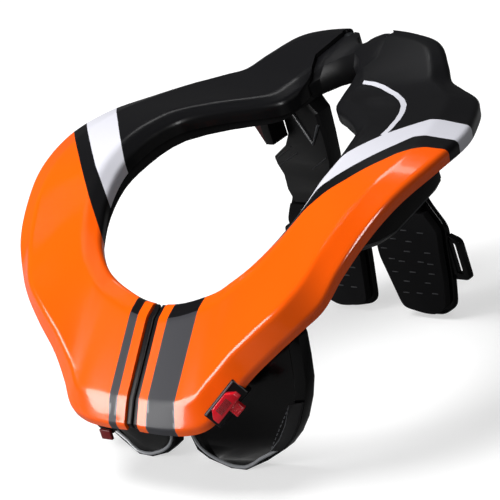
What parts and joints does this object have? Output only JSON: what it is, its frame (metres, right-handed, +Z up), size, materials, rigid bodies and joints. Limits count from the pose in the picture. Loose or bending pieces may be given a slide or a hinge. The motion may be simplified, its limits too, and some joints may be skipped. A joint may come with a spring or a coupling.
{
  "type": "motocross neck brace",
  "caption": "Motocross neck brace: hinged glossy ring round a neck opening, on chest paddles and padded back wings, with a front latch slider.",
  "frame": {"origin": "middle of the brace on the surface that its chest paddles and back wings stand on", "axes": "+X to the wearer's left, +Y to the wearer's back, +Z up"},
  "size_m": [0.3, 0.2726, 0.164],
  "materials": {
    "shell": "gloss",
    "black": "satin",
    "foam": "matte",
    "gloss": "gloss",
    "rubber": "matte",
    "red": "gloss",
    "steel": "satin"
  },
  "bodies": {
    "bridge": {"rear_bridge": "black", "hinge_pin_left": "steel", "hinge_pin_right": "steel"},
    "left_half": {"shell_left": "shell", "core_left": "foam", "front_moulding_left": "black", "chest_paddle_left": "gloss", "strap_tab_left": "rubber", "shoulder_pad_left": "gloss", "strut_left": "black", "wing_left": "black", "wing_pad_left": "foam", "strap_loop_left": "black", "adjuster_left": "black", "release_tab_left": "red", "latch_bracket": "black"},
    "right_half": {"shell_right": "shell", "core_right": "foam", "front_moulding_right": "black", "chest_paddle_right": "gloss", "strap_tab_right": "rubber", "shoulder_pad_right": "gloss", "strut_right": "black", "wing_right": "black", "wing_pad_right": "foam", "strap_loop_right": "black", "adjuster_right": "black", "release_tab_right": "red", "chest_catch": "black", "catch_pull": "red"},
    "latch": {"latch_slider": "red"}
  },
  "joints": [
    {"name": "left_hinge", "type": "hinge", "parent": "bridge", "child": "left_half", "pos_m": [0.01755, 0.133, 0.155], "axis": [0, 0, 1], "range_deg": [0, 22]},
    {"name": "right_hinge", "type": "hinge", "parent": "bridge", "child": "right_half", "pos_m": [-0.01755, 0.133, 0.155], "axis": [0, 0, -1], "range_deg": [0, 22]},
    {"name": "latch_slide", "type": "slide", "parent": "left_half", "child": "latch", "axis": [0.589, 0.5247, 0.6146], "range_m": [0, 0.005]}
  ]
}
